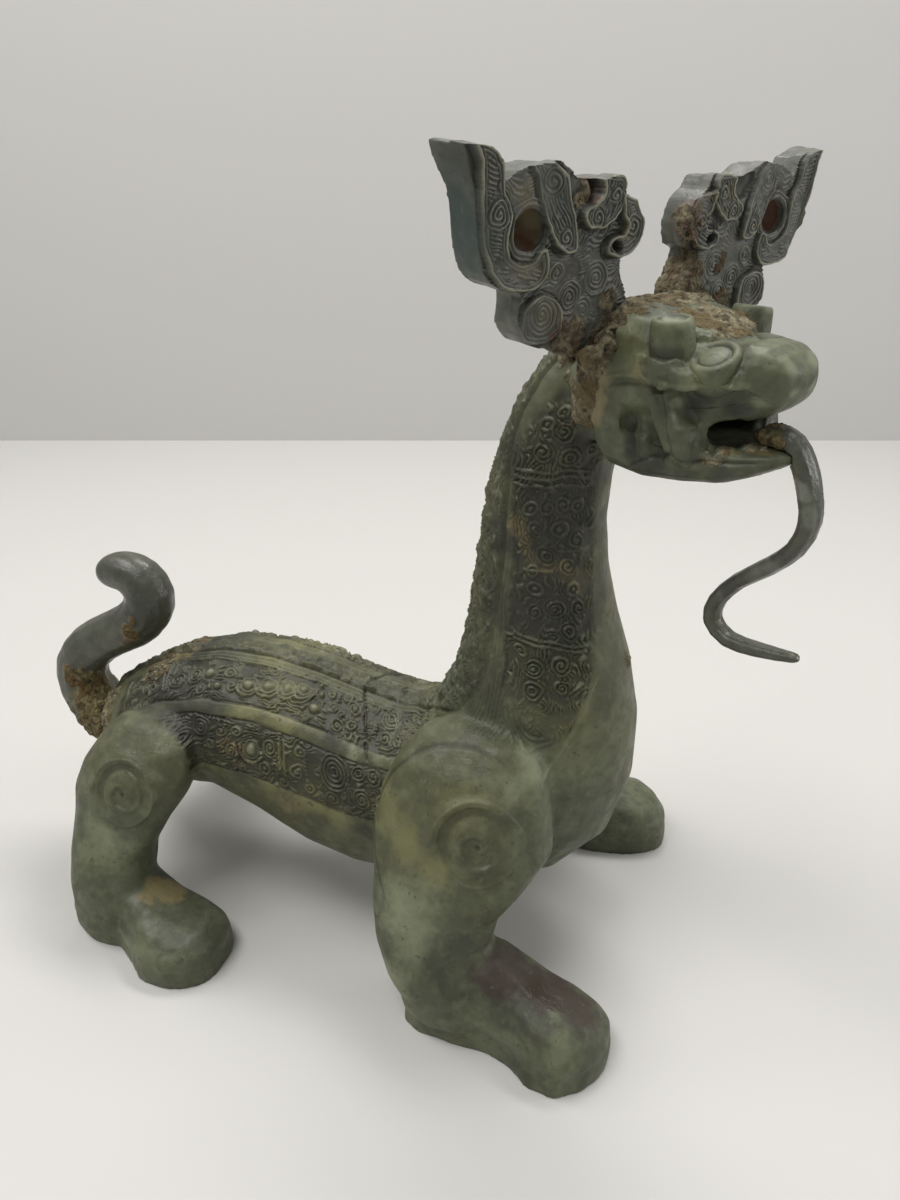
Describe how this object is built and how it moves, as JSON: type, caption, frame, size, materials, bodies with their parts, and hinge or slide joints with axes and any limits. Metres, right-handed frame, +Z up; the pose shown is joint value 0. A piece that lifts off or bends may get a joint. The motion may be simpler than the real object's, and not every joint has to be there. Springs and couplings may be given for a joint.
{
  "type": "bronze dragon sculpture",
  "caption": "Hollow cast bronze horned beast standing on four splayed paws, long neck raised, head turned aside, tongue out and tail curled up.",
  "frame": {"origin": "on the ground under the middle of the overall box", "axes": "+X the way the body faces, +Y the beast's left, +Z up from the soles"},
  "size_m": [0.348, 0.1968, 0.3351],
  "materials": {
    "green_bronze": "cast bronze with a smooth green patina",
    "crusted_bronze": "cast bronze with fine relief and brown crust",
    "dark_bronze": "cast bronze, dark grey-green and half glossy"
  },
  "bodies": {
    "root": {"casting": "green_bronze", "horn_left": "crusted_bronze", "horn_right": "crusted_bronze", "tongue": "dark_bronze", "tail": "dark_bronze"}
  },
  "joints": []
}
